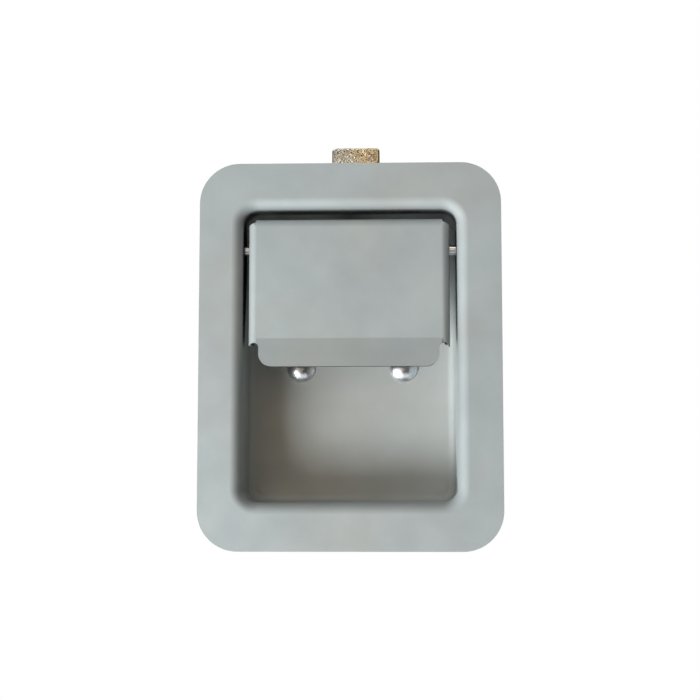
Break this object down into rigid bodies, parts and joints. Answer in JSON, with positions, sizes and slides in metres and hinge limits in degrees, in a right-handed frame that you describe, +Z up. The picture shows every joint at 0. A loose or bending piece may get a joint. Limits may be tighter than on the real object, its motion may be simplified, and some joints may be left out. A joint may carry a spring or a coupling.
{
  "type": "paddle latch",
  "caption": "Weld-on paddle latch: a hinged paddle in a recessed pan draws back a spring-loaded slam bolt.",
  "frame": {"origin": "centre of the flange's rear face, where it lies on the door skin, at the middle of the door's cut-out", "axes": "+X to the right seen from the front, +Y into the door, +Z up, the way the bolt points"},
  "size_m": [0.0952, 0.0421, 0.1329],
  "materials": {
    "satin_steel": "satin bare steel sheet",
    "zinc_plate": "clear zinc plate on steel",
    "bright_zinc": "bright polished plate on steel",
    "spring_steel": "drawn spring wire and strip",
    "yellow_zinc": "yellow passivated zinc on a sintered steel bolt"
  },
  "bodies": {
    "frame": {"pan": "satin_steel", "hinge_pin": "bright_zinc", "push_nut": "spring_steel", "paddle_spring": "spring_steel", "bolt_housing": "zinc_plate", "bolt_spring": "spring_steel", "spring_guide": "zinc_plate", "rivets": "bright_zinc"},
    "paddle": {"paddle": "satin_steel", "trip_lever": "zinc_plate"},
    "bolt": {"slam_bolt": "yellow_zinc"}
  },
  "joints": [
    {"name": "paddle_hinge", "type": "hinge", "parent": "frame", "child": "paddle", "pos_m": [0, 0.006, 0.0342], "axis": [-1, 0, 0], "range_deg": [0, 30], "stiffness_Nm_per_rad": 0.18, "springref_deg": -17.19, "deforming": ["paddle_spring"]},
    {"name": "bolt_slide", "type": "slide", "parent": "frame", "child": "bolt", "axis": [0, 0, -1], "range_m": [0, 0.0115], "stiffness_N_per_m": 2600, "springref_m": -0.004, "deforming": ["bolt_spring"]}
  ],
  "couplings": [
    {"joint": "paddle_hinge", "follows": "bolt_slide", "rad_per_m": 45.53}
  ]
}
